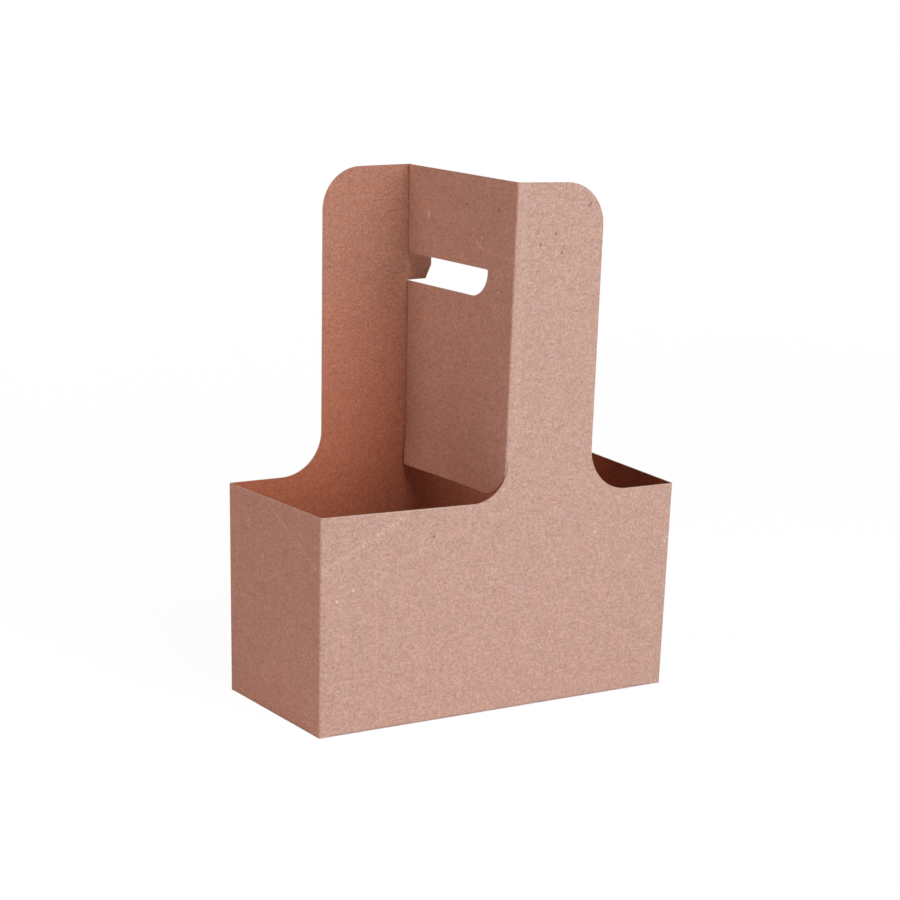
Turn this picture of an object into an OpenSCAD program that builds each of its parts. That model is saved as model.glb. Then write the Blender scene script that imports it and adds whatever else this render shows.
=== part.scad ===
// Two-cup carrier folded from one die-cut sheet of kraft board.
// The tray is a glued tube with a self-locking base. One handle panel rises from the
// front wall and one from the back wall, and a divider that is folded off the front
// panel runs back to the other, so that the handle is a Z in plan. The walls lean a
// little outwards, so that the base is smaller than the rim.
// X runs along the tray, Y from front to back and Z up. The origin lies on the
// underside, at the middle of the tray.

/* [Board] */
// Thickness of the board
board_t = 0.6; // [0.4:0.05:0.9]
// Radius on the inside of every fold
fold_inner_r = 0.6; // [0.4:0.1:1.2]

/* [Tray] */
// Length of the tray over its end walls, at the rim
tray_l = 190; // [170:1:230]
// Depth over the front and back panels, at the top of the handle
tray_d = 87; // [76:1:110]
// Height of the rim above the underside
tray_h = 100; // [70:1:130]
// Outward lean of the end walls, for each millimetre of height
end_lean = 0.016; // [0:0.002:0.03]
// Outward lean of the front and back panels, for each millimetre of height
long_lean = 0.01; // [0:0.002:0.016]

/* [Handle] */
// Height of the handle above the rim
handle_rise = 146; // [120:1:180]
// Width of each handle panel, from the divider to its outer edge
handle_w = 46.8; // [36:0.2:58]
// Radius of the outer top corner of each handle panel
handle_corner_r = 20; // [6:1:30]
// Radius where the outer edge of a handle panel runs down into the rim
foot_r = 21; // [8:1:26]
// Radius where the fold side of a handle panel runs down into the rim
fold_foot_r = 17.3; // [6:0.1:22]
// Gap between the back edge of the divider and the fold behind it
divider_gap = 0.1; // [0.05:0.05:1]

/* [Hand slot] */
// Height of the slot
slot_h = 13.6; // [13:0.2:24]
// Distance from the top of the handle down to the slot
slot_drop = 42; // [26:1:60]
// Board left between the slot and the front fold
slot_land = 20; // [14:1:36]
// Radius of the lower front corner of the slot
slot_corner_r = 13; // [4:0.5:13]
// Radius of the corner above the open end of the slot
slot_lip_r = 3; // [1:0.5:6]

/* [Glue flap] */
// Width of the flap that fixes the back handle panel to the divider
flap_w = 13; // [9:1:18]
// Slant cut off the free edge at each end of the flap
flap_taper = 5; // [2:0.5:8]
// Gap cut between the flap and the tab that stays flat behind the slot
flap_cut = 0.4; // [0.2:0.1:1]
// Width of the slant across the lower corner of the tab
tab_cut_w = 3; // [1:0.5:6]
// Height of the slant across the lower corner of the tab
tab_cut_h = 6.5; // [2:0.5:10]

/* [Side seam] */
// Width of the seam tab glued inside the back wall
seam_w = 16; // [10:1:24]
// Slant cut off the free edge at each end of the seam tab
seam_taper = 5; // [2:0.5:10]
// Distance from the corner fold to the raw edge of the back wall
seam_gap = 0.5; // [0.3:0.1:2]

/* [Base] */
// Clearance between a base flap and the walls beside it
flap_relief = 1.5; // [1:0.1:4]
// Depth of the two end flaps
end_flap_d = 40; // [25:1:44]
// Slant at the glued side of an end flap
end_flap_glue_taper = 4; // [1:0.5:12]
// Slant at the free side of an end flap
end_flap_free_taper = 14; // [4:0.5:24]
// Slant at the free end of a long flap
long_flap_taper = 18; // [6:1:30]
// Gap along the middle, where the two long flaps meet
lock_gap = 1; // [0.5:0.1:3]
// Distance that a locking tongue reaches past the middle
lock_reach = 16; // [8:1:24]
// Length over which a tongue climbs on to the other flap
lock_climb = 6; // [3:0.5:10]
// Clearance between a tongue and the end flap or the tongue beside it
lock_clear = 4; // [2:0.5:10]
// Width of the cut along each side of a tongue
lock_slit = 0.5; // [0.3:0.1:1.5]
// Slant across the corners of a tongue
lock_corner = 7; // [2:0.5:10]

/* [Hidden] */
$fn = 96;
kraft = [0.71, 0.54, 0.43];

fold_r = fold_inner_r + board_t;
carrier_h = tray_h + handle_rise;

// Outer faces of the walls at the underside, and the lines where their corner folds begin
back_y = tray_d / 2 - long_lean * carrier_h;
front_y = -back_y;
end_x = tray_l / 2 - end_lean * tray_h;
wall_half = end_x - fold_r;
side_half = back_y - fold_r;

// The same lines at a height z, for the walls lean outwards
function wall_at(z) = wall_half + end_lean * min(z, tray_h);
function side_at(z) = side_half + long_lean * z;

// The end walls stand one board higher, because their flaps lie on the long flaps
long_wall_z = fold_r;
end_wall_z = board_t + fold_r;

// The divider is centred on the tray: its left face, and where its folds begin
divider_x = -board_t / 2;
front_fold_x = divider_x + fold_r;
back_fold_x = divider_x + 2 * board_t - fold_r;
handle_fold_z = tray_h + fold_foot_r;

slot_top_z = carrier_h - slot_drop;
slot_bottom_z = slot_top_z - slot_h;
slot_front_y = slot_land - fold_r - side_at(slot_top_z);

long_flap_half = wall_half - flap_relief;
end_flap_half = side_half - flap_relief;
tongue_end_x = wall_half - end_flap_d - lock_clear;

// A cut runs past the board by this much
past = 1;

// Rectangle from the origin with its corner there rounded to radius r
module rounded_at_origin(size, r) {
    difference() {
        square(size);
        round_off(r);
    }
}

// What is cut away to round the corner of an outline at the origin
module round_off(r) {
    difference() {
        translate([-past, -past])
            square(r + past);
        translate([r, r])
            circle(r);
    }
}

// Leans what stands upright: it moves by x and y for each millimetre of height
module lean(x, y) {
    multmatrix([[1, 0, x, 0], [0, 1, y, 0], [0, 0, 1, 0]])
        children();
}

// Outline drawn in X and Z, given the board's thickness, with its outer face at y = 0
module upright_along_x() {
    rotate([90, 0, 0])
        translate([0, 0, -board_t])
            linear_extrude(board_t)
                children();
}

// Outline drawn in Y and Z, given the board's thickness towards +X
module upright_along_y() {
    rotate([90, 0, 90])
        linear_extrude(board_t)
            children();
}

// Quarter round of board about the Z axis, on the side of -X and -Y
module fold(length) {
    linear_extrude(length)
        intersection() {
            difference() {
                circle(fold_r);
                circle(fold_inner_r);
            }
            translate([-2 * fold_r, -2 * fold_r])
                square(2 * fold_r);
        }
}

// Long wall between its corner folds, from z = low to z = high
module wall_outline(low, high) {
    polygon([
        [-wall_at(low), low],
        [wall_at(low), low],
        [wall_at(tray_h), tray_h],
        [wall_at(tray_h), high],
        [-wall_at(tray_h), high],
        [-wall_at(tray_h), tray_h]
    ]);
}

// One long wall with its handle panel, seen from outside with the fold on its left
module handle_wall_outline(fold_x) {
    top_past = handle_rise + past;
    side_past = tray_l / 2;
    difference() {
        wall_outline(long_wall_z, carrier_h);
        translate([fold_x, tray_h])
            mirror([1, 0])
                rounded_at_origin([side_past + fold_x, top_past], fold_foot_r);
        translate([handle_w, tray_h])
            rounded_at_origin([side_past - handle_w, top_past], foot_r);
        translate([handle_w, carrier_h])
            mirror([1, 0])
                mirror([0, 1])
                    round_off(handle_corner_r);
    }
}

// Front wall with the front handle panel
module front_wall() {
    translate([0, front_y, 0])
        lean(0, -long_lean)
            upright_along_x()
                handle_wall_outline(front_fold_x);
}

// Back wall with the back handle panel: its raw end, on the left as seen from behind,
// stops short of the corner fold of the seam tab
module back_wall() {
    translate([0, back_y, 0])
        rotate([0, 0, 180])
            lean(0, -long_lean)
                upright_along_x()
                    intersection() {
                        handle_wall_outline(-back_fold_x);
                        translate([seam_gap, 0])
                            wall_outline(0, carrier_h + past);
                    }
}

// End wall between its corner folds, cut short at the back by a length
module end_wall_outline(short) {
    polygon([
        [-side_at(end_wall_z), end_wall_z],
        [side_at(end_wall_z) - short, end_wall_z],
        [side_at(tray_h) - short, tray_h],
        [-side_at(tray_h), tray_h]
    ]);
}

// Both end walls: the right one stops short of the back wall for the seam tab
module end_walls() {
    translate([-end_x, 0, 0])
        lean(-end_lean, 0)
            upright_along_y()
                end_wall_outline(0);
    translate([end_x - board_t, 0, 0])
        lean(end_lean, 0)
            upright_along_y()
                end_wall_outline(board_t);
}

// One upright fold of the tray, at x and y on the underside and turned about Z
module corner_fold(x, y, turn) {
    translate([x, y, 0])
        lean(sign(x) * end_lean, sign(y) * long_lean)
            translate([0, 0, end_wall_z])
                rotate(turn)
                    fold(tray_h - end_wall_z);
}

// Upright folds of the tray, the last of which turns the seam tab inside the back wall
module corner_folds() {
    corner_fold(-wall_half, -side_half, 0);
    corner_fold(wall_half, -side_half, 90);
    corner_fold(-wall_half, side_half, 270);
    corner_fold(wall_half, side_half - board_t, 180);
}

// Seam tab along the inside of the back wall
module seam_tab() {
    free_x = wall_half - seam_w;
    translate([0, back_y - 2 * board_t, 0])
        lean(0, long_lean)
            upright_along_x()
                polygon([
                    [wall_at(end_wall_z), end_wall_z],
                    [wall_at(tray_h), tray_h],
                    [free_x, tray_h - seam_taper],
                    [free_x, end_wall_z + seam_taper]
                ]);
}

// Divider with the hand slot, which is open at the divider's back edge
module divider() {
    translate([divider_x + fold_r, -side_half, 0])
        lean(0, -long_lean)
            translate([0, 0, handle_fold_z])
                fold(carrier_h - handle_fold_z);
    translate([divider_x, 0, 0])
        upright_along_y()
            difference() {
                polygon([
                    [-side_at(tray_h), tray_h],
                    [side_at(tray_h) - divider_gap, tray_h],
                    [side_at(carrier_h) - divider_gap, carrier_h],
                    [-side_at(carrier_h), carrier_h]
                ]);
                translate([-side_at(handle_fold_z), tray_h])
                    round_off(fold_foot_r);
                translate([slot_front_y, slot_bottom_z])
                    rounded_at_origin([tray_d, slot_h], slot_corner_r);
                translate([side_at(slot_top_z) - divider_gap, slot_top_z])
                    mirror([1, 0])
                        round_off(slot_lip_r);
            }
}

// One length of the glue flap, from z = low to z = high, with its fold
module flap_length(low, high) {
    translate([back_fold_x, side_half, 0])
        lean(0, long_lean)
            translate([0, 0, low])
                rotate(180)
                    fold(high - low);
    translate([divider_x + board_t, 0, 0])
        upright_along_y()
            polygon([
                [side_at(low), low],
                [side_at(high), high],
                [side_at(high) - flap_w, high - flap_taper],
                [side_at(low) - flap_w, low + flap_taper]
            ]);
}

// Glue flap behind the divider, broken at the slot, where its middle stays flat
module glue_flap() {
    flap_length(handle_fold_z, slot_bottom_z - flap_cut);
    flap_length(slot_top_z + flap_cut, carrier_h);
    tab_end_x = back_fold_x + flap_w;
    translate([0, back_y - board_t, 0])
        lean(0, long_lean)
            upright_along_x()
                polygon([
                    [back_fold_x, slot_bottom_z],
                    [back_fold_x, slot_top_z],
                    [tab_end_x, slot_top_z],
                    [tab_end_x, slot_bottom_z + tab_cut_h],
                    [tab_end_x - tab_cut_w, slot_bottom_z]
                ]);
}

// Front long flap of the base, whose right half ends in a locking tongue
module long_flap() {
    fold_y = -side_at(long_wall_z);
    climb_y = -lock_gap - lock_climb;
    translate([-long_flap_half, fold_y, fold_r])
        rotate([90, 0, 90])
            fold(2 * long_flap_half);
    linear_extrude(board_t)
        polygon([
            [-long_flap_half, fold_y],
            [long_flap_half, fold_y],
            [long_flap_half - long_flap_taper, -lock_gap],
            [tongue_end_x + lock_slit, -lock_gap],
            [tongue_end_x + lock_slit, climb_y],
            [lock_clear - lock_slit, climb_y],
            [lock_clear - lock_slit, -lock_gap],
            [-long_flap_half, -lock_gap]
        ]);
    intersection() {
        rotate([90, 0, 90])
            linear_extrude(end_x)
                polygon([
                    [climb_y, 0],
                    [-lock_gap, board_t],
                    [lock_reach, board_t],
                    [lock_reach, 2 * board_t],
                    [-lock_gap, 2 * board_t],
                    [climb_y, board_t]
                ]);
        linear_extrude(3 * board_t)
            polygon([
                [lock_clear, climb_y],
                [tongue_end_x, climb_y],
                [tongue_end_x, lock_reach - lock_corner],
                [tongue_end_x - lock_corner, lock_reach],
                [lock_clear + lock_corner, lock_reach],
                [lock_clear, lock_reach - lock_corner]
            ]);
    }
}

// Left end flap of the base, glued on the long flaps
module end_flap() {
    fold_x = -wall_at(end_wall_z);
    free_x = fold_x + end_flap_d;
    translate([fold_x, end_flap_half, end_wall_z])
        rotate([90, 0, 0])
            fold(2 * end_flap_half);
    translate([0, 0, board_t])
        linear_extrude(board_t)
            polygon([
                [fold_x, -end_flap_half],
                [free_x, -end_flap_half + end_flap_glue_taper],
                [free_x, end_flap_half - end_flap_free_taper],
                [fold_x, end_flap_half]
            ]);
}

// Self-locking base: both halves are alike, turned half round
module base() {
    for (turn = [0, 180])
        rotate(turn) {
            long_flap();
            end_flap();
        }
}

// The whole folded and glued sheet
module carrier() {
    color(kraft) {
        front_wall();
        back_wall();
        end_walls();
        corner_folds();
        seam_tab();
        divider();
        glue_flap();
        base();
    }
}

carrier();
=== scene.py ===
"""Kraft board cup carrier, folded up from its die-cut sheet, on a plain studio floor."""

import logging
import math
from collections.abc import Collection
from dataclasses import dataclass, field
from enum import Enum, IntEnum
from typing import NamedTuple

import bmesh
import bpy
from mathutils import Matrix, Vector


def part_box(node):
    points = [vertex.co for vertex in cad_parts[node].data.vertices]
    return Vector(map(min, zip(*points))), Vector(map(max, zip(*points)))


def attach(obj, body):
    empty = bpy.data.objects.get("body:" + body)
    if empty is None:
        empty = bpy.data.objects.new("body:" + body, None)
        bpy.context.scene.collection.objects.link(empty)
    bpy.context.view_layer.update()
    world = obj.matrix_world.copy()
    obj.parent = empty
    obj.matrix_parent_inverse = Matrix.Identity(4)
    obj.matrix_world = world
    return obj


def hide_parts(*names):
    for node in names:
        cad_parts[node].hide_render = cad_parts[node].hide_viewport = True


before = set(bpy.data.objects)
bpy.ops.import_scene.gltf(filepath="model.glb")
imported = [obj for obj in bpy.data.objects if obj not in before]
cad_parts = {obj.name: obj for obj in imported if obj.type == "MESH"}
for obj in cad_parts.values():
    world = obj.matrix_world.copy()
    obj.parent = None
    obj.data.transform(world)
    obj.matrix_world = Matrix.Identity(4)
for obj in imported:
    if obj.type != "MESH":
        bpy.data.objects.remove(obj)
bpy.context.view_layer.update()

MM = 0.001

# A point that is closer to a line than a touch, in metres, lies on it.
TOUCH = 1e-6
FINE_TOUCH = 1e-7
LINE_DIGITS = 7

# The map spans so many millimetres of sheet, with the inside of the board in its upper half.
SHEET_MAP = "OFBake"
MAP_SPAN = 630.0
INNER_HALF = 0.5

PANEL_TAG = "panel"
FOLD_WEAR = "fold_wear"

Pair = tuple[float, float]
Triple = tuple[float, float, float]
Colour = tuple[float, float, float, float]

log = logging.getLogger("cup_carrier")


def clamp(share: float) -> float:
    """Keeps a share between 0 and 1."""
    return min(max(share, 0.0), 1.0)


def link_mesh(name: str, mesh: bmesh.types.BMesh) -> bpy.types.Object:
    """Makes an object of a finished mesh.

    Args:
        name: name of the object.
        mesh: its mesh, which is freed.

    Returns:
        The object, in the scene.
    """
    data = bpy.data.meshes.new(name)
    mesh.to_mesh(data)
    mesh.free()
    obj = bpy.data.objects.new(name, data)
    bpy.context.scene.collection.objects.link(obj)
    return obj


class Panel(IntEnum):
    """Areas of the die-cut sheet. A face's tag says which of them it belongs to."""

    FRONT_WALL = 1
    LEFT_WALL = 2
    BACK_WALL = 3
    RIGHT_WALL = 4
    SEAM_TAB = 5
    DIVIDER = 6
    LOW_GLUE_FLAP = 7
    HIGH_GLUE_FLAP = 8
    SLOT_TAB = 9
    FRONT_FLAP = 10
    BACK_FLAP = 11
    LEFT_FLAP = 12
    RIGHT_FLAP = 13


class Across(IntEnum):
    """Axis of the flat sheet that a crease line crosses."""

    U = 0
    V = 1


class Face(IntEnum):
    """Material slots of the board."""

    BOARD = 0
    CUT_EDGE = 1


class Corner(NamedTuple):
    """Corner of a panel's outline on the flat sheet, rounded to a radius."""

    u: float
    v: float
    radius: float = 0.0


@dataclass(frozen=True)
class SheetSizes:
    """Sizes of the carrier and of the flat sheet it is folded from, in metres.

    On the sheet u runs along the front wall and v up it, with the origin under the
    middle of the front wall. The drawn side is the outside of the board.
    """

    length: float
    depth: float
    height: float
    board: float = 0.6 * MM
    fold_inner: float = 0.6 * MM
    rim: float = 100 * MM
    rim_fall: float = 0.4 * MM
    end_lean: float = 0.016
    long_lean: float = 0.01
    handle: float = 46.8 * MM
    back_handle: float = 46.5 * MM
    handle_corner: float = 20 * MM
    foot: float = 21 * MM
    fold_foot: float = 17.3 * MM
    divider_rise: float = 0.4 * MM
    corner_ease: float = 1.5 * MM
    glue: float = 0.05 * MM
    divider_gap: float = 0.1 * MM
    heel_gap: float = 0.9 * MM
    heel_rise: float = 0.55 * MM
    flap_relief: float = 1.3 * MM
    relief_slit: float = 0.03 * MM
    slot_height: float = 13.5 * MM
    slot_drop: float = 41.9 * MM
    slot_land: float = 20.5 * MM
    slot_corner: float = 13.2 * MM
    slot_lip: float = 3 * MM
    slot_top_corner: float = 1 * MM
    flap: float = 13 * MM
    flap_taper: float = 5 * MM
    flap_cut: float = 0.1 * MM
    tab_short: float = 0.1 * MM
    tab_cut: float = 3 * MM
    tab_cut_height: float = 6.5 * MM
    seam: float = 16 * MM
    seam_taper: float = 5 * MM
    seam_gap: float = 0.5 * MM
    seam_low: float = 2.2 * MM
    toe: float = 0.1 * MM
    slit: float = 0.3 * MM
    end_relief: float = 1.5 * MM
    long_relief: float = 5.5 * MM
    end_flap_climb: float = 4.5 * MM
    end_flap: float = 40 * MM
    end_flap_glue_taper: float = 4 * MM
    end_flap_free_taper: float = 14 * MM
    long_flap_taper: float = 18 * MM
    lock_gap: float = 1 * MM
    lock_reach: float = 16 * MM
    lock_climb: float = 6 * MM
    lock_clear: float = 4 * MM
    lock_slit: float = 0.5 * MM
    lock_corner: float = 7 * MM

    @property
    def fold(self) -> float:
        """Outer radius of every fold."""
        return self.board + self.fold_inner

    @property
    def arc(self) -> float:
        """Length of board that a right-angled fold takes up, on its outside."""
        return self.fold * math.pi / 2

    @property
    def wall_half(self) -> float:
        """Half the flat part of a long wall."""
        return self.length / 2 - self.fold

    @property
    def side_half(self) -> float:
        """Half the flat part of an end wall."""
        return self.depth / 2 - self.fold

    @property
    def base_z(self) -> float:
        """Height at which the base folds of the walls begin."""
        return self.fold

    @property
    def front_fold(self) -> float:
        """Line on the front wall where the divider is folded off it."""
        return self.fold - self.board / 2

    @property
    def slot_top(self) -> float:
        """Height of the upper edge of the hand slot."""
        return self.height - self.slot_drop

    @property
    def slot_bottom(self) -> float:
        """Height of the lower edge of the hand slot."""
        return self.slot_top - self.slot_height

    @property
    def flap_low(self) -> float:
        """Height of the lower end of the glue flap, where the fold beside it ends."""
        return self.rim + self.fold_foot

    @property
    def left_start(self) -> float:
        """Line where the left wall's flat part begins, next to the front wall."""
        return -self.wall_half - self.arc

    @property
    def left_end(self) -> float:
        """Line where the left wall's flat part ends."""
        return self.left_start - 2 * self.side_half

    @property
    def back_start(self) -> float:
        """Line where the back wall's flat part begins, next to the left wall."""
        return self.left_end - self.arc

    @property
    def back_middle(self) -> float:
        """Line on the back wall at the middle of the tray."""
        return self.back_start - self.wall_half

    @property
    def back_fold(self) -> float:
        """Line on the back wall where the glue flap is folded off it."""
        return self.back_middle + self.fold - self.board * 3 / 2 - self.glue

    @property
    def right_start(self) -> float:
        """Line where the right wall's flat part begins, next to the front wall."""
        return self.wall_half + self.arc

    @property
    def right_end(self) -> float:
        """Line where the right wall's flat part ends, one board short of the back wall."""
        return self.right_start + 2 * self.side_half - self.board - self.glue

    @property
    def flap_meet(self) -> float:
        """Line on a long base flap where it meets the other one."""
        return self.base_v(self.side_half - self.lock_gap)

    def tongue(self, middle: float) -> Pair:
        """Lines between which the tongue of a long base flap with this middle lies."""
        return middle + self.lock_clear, middle + self.wall_half - self.end_flap - self.lock_clear

    def base_v(self, across: float) -> float:
        """Place on the sheet of a point of a base flap, this far beyond the end of its fold."""
        return self.base_z - self.arc - across


def panel_points(mesh: bmesh.types.BMesh, panels: Collection[Panel]) -> set[bmesh.types.BMVert]:
    """Finds the points of some panels of the sheet."""
    tag = mesh.faces.layers.int[PANEL_TAG]
    return {v for f in mesh.faces if f[tag] in panels for v in f.verts}


@dataclass(frozen=True)
class Crease:
    """One right-angled fold of the sheet.

    Args:
        across: axis of the sheet that the crease line crosses.
        start: where the fold begins on that axis.
        side: 1 where the moving board lies beyond start, -1 where it lies before it.
        moving: panels that turn with the fold.
        steps: number of flats that the fold is made of.
    """

    across: Across
    start: float
    side: int
    moving: frozenset[Panel]
    steps: int = 6

    def lines(self, arc: float) -> list[float]:
        """Lines along which the fold bends, from start to end, for the board that it takes up."""
        return [self.start + self.side * arc * step / self.steps for step in range(self.steps + 1)]

    def fold(self, mesh: bmesh.types.BMesh, arc: float) -> None:
        """Turns the moving panels to the inside, one bend line after another.

        Args:
            mesh: the sheet, flat where this crease is.
            arc: length of board that the fold takes up.
        """
        wear = mesh.verts.layers.float[FOLD_WEAR]
        moving = panel_points(mesh, self.moving)
        past = {v: self.side * (v.co[self.across] - self.start) for v in moving}
        for vert, reach in past.items():
            if -TOUCH < reach < arc + TOUCH:
                vert[wear] = max(vert[wear], math.sin(math.pi * clamp(reach / arc)))
        turn = math.pi / 2 / self.steps
        lines = self.lines(arc)
        axis = "Y" if self.across is Across.U else "X"
        for step in range(self.steps, -1, -1):
            angle = turn / 2 if step in (0, self.steps) else turn
            beyond = [v for v, reach in past.items() if reach > arc * step / self.steps + FINE_TOUCH]
            centre = Vector((0, 0, 0))
            centre[self.across] = lines[step]
            sign = -self.side if self.across is Across.U else self.side
            bmesh.ops.rotate(
                mesh, cent=centre, matrix=Matrix.Rotation(sign * angle, 3, axis), verts=beyond
            )


@dataclass(frozen=True)
class Stance:
    """How the folded carrier stands: not quite square, as board springs after folding.

    Args:
        rack: shift of the front against the back along the tray, at the rim and below.
        rack_top: the same at the top of the handle.
        lift_front_left: rise of that corner of the rim, and the next three likewise.
        droop_front: drop of the outer top corner of the front handle panel.
        droop_back: the same for the back handle panel.
        settle: drop of the top of the handle.
        crease_shift: shift of the divider's back edge to the left.
        curl: further shift of its lower back corner, which is free below the glue flap.
        fold_shift: shift of the divider's front fold to the right.
        fold_wave: height of the waves along that fold.
        waves: share, length for a turn of one radian, and start, of each of these waves.
        still: share of the rim's height below which the folds keep straight.
        reach: distance from a fold over which its shift dies away.
    """

    rack: float = 1.7 * MM
    rack_top: float = 2.7 * MM
    lift_front_left: float = 1.49 * MM
    lift_back_left: float = 0.09 * MM
    lift_front_right: float = -0.74 * MM
    lift_back_right: float = 2.2 * MM
    droop_front: float = 0.92 * MM
    droop_back: float = 0.55 * MM
    settle: float = 0.65 * MM
    crease_shift: float = 0.6 * MM
    curl: float = 1.5 * MM
    fold_shift: float = 0.25 * MM
    fold_wave: float = 0.15 * MM
    waves: tuple[Triple, ...] = ((0.55, 4 * MM, 0.6), (0.45, 2 * MM, 0.0))
    still: float = 0.8
    reach: float = 6 * MM

    def place(self, point: Vector, sizes: SheetSizes) -> Vector:
        """Moves one point of the square carrier to where it stands.

        Args:
            point: the point, in the frame of the part.
            sizes: sizes of the carrier.

        Returns:
            The moved point.
        """
        half_length = sizes.length / 2
        half_depth = sizes.depth / 2
        low = clamp(point.z / sizes.rim)
        above = clamp((point.z - sizes.rim) / (sizes.height - sizes.rim))
        ahead = point.y / half_depth
        along = point.x / half_length
        y = point.y - ahead * sizes.long_lean * (sizes.height - point.z)
        x = point.x - along * sizes.end_lean * sizes.rim * (1 - low)
        x -= ahead * (self.rack + (self.rack_top - self.rack) * above)
        front = 0.5 - ahead / 2
        back = 1 - front
        rise = max(0.0, -along) * (front * self.lift_front_left + back * self.lift_back_left)
        rise += max(0.0, along) * (front * self.lift_front_right + back * self.lift_back_right)
        z = point.z + rise * low - self.settle * above
        outwards = point.x * -ahead / sizes.handle
        if outwards > 0:
            droop = self.droop_front if point.y < 0 else self.droop_back
            z -= droop * above * outwards
        return Vector((x + self.crease_move(point, sizes), y, z))

    def crease_move(self, point: Vector, sizes: SheetSizes) -> float:
        """Works out how far the divider's two ends stray from their planes.

        Args:
            point: a point of the square carrier.
            sizes: sizes of the carrier.

        Returns:
            The shift of the point along the tray.
        """
        half_depth = sizes.depth / 2
        to_rim = clamp((point.z / sizes.rim - self.still) / (1 - self.still))
        beside = max(0.0, 1 - abs(point.x) / sizes.handle) * to_rim
        behind = max(0.0, point.y / half_depth)
        free = clamp((sizes.flap_low + self.reach - point.z) / sizes.fold_foot)
        clear = 1.0 if point.y < half_depth - sizes.board * 3 / 2 else 0.0
        move = -behind * beside * (self.crease_shift + self.curl * clear * free * free)
        near = math.exp(-((point.x / self.reach) ** 2) - ((point.y + half_depth) / self.reach) ** 2)
        wave = sum(share * math.sin(point.z / turn + start) for share, turn, start in self.waves)
        return move + near * to_rim * (self.fold_shift + self.fold_wave * wave)


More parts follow.
